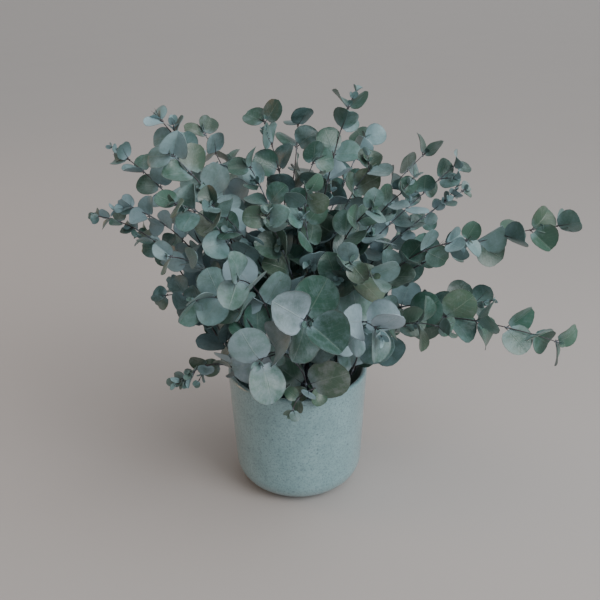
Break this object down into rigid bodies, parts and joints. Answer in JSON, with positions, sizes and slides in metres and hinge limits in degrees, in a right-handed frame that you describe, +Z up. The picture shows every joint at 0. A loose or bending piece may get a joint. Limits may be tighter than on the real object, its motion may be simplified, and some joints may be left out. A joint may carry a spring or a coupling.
{
  "type": "bunch of dried eucalyptus",
  "caption": "Loose bunch of dried silver-dollar eucalyptus sprigs with round paired leaves, standing in a plain round speckled glazed pot; decorates a table or shelf.",
  "frame": {"origin": "middle of the pot's foot, where it rests on the table", "axes": "+Z up along the pot's axis; -Y towards the side the bunch is looked at from; +X to that viewer's right, where the longest sprigs reach"},
  "size_m": [0.4453, 0.3274, 0.3924],
  "materials": {
    "glaze": "satin glaze with fine darker speckles",
    "dried_sprig": "matt, blue-green with a pale bloom; thin purple-brown stems"
  },
  "bodies": {
    "root": {"pot": "glaze", "sprig_01": "dried_sprig", "sprig_02": "dried_sprig", "sprig_03": "dried_sprig", "sprig_04": "dried_sprig", "sprig_05": "dried_sprig", "sprig_06": "dried_sprig", "sprig_07": "dried_sprig", "sprig_08": "dried_sprig", "sprig_09": "dried_sprig", "sprig_10": "dried_sprig", "sprig_11": "dried_sprig", "sprig_12": "dried_sprig", "sprig_13": "dried_sprig", "sprig_14": "dried_sprig", "sprig_15": "dried_sprig", "sprig_16": "dried_sprig", "sprig_17": "dried_sprig", "sprig_18": "dried_sprig", "sprig_19": "dried_sprig", "sprig_20": "dried_sprig", "sprig_21": "dried_sprig", "sprig_22": "dried_sprig", "sprig_23": "dried_sprig", "sprig_24": "dried_sprig", "sprig_25": "dried_sprig", "sprig_26": "dried_sprig", "sprig_27": "dried_sprig", "sprig_28": "dried_sprig", "sprig_29": "dried_sprig", "sprig_30": "dried_sprig", "sprig_31": "dried_sprig", "sprig_32": "dried_sprig", "sprig_33": "dried_sprig", "sprig_34": "dried_sprig", "sprig_35": "dried_sprig", "sprig_36": "dried_sprig", "sprig_37": "dried_sprig", "sprig_38": "dried_sprig", "sprig_39": "dried_sprig", "sprig_40": "dried_sprig", "sprig_41": "dried_sprig", "sprig_42": "dried_sprig", "sprig_43": "dried_sprig", "sprig_44": "dried_sprig", "sprig_45": "dried_sprig", "sprig_46": "dried_sprig"}
  },
  "joints": []
}
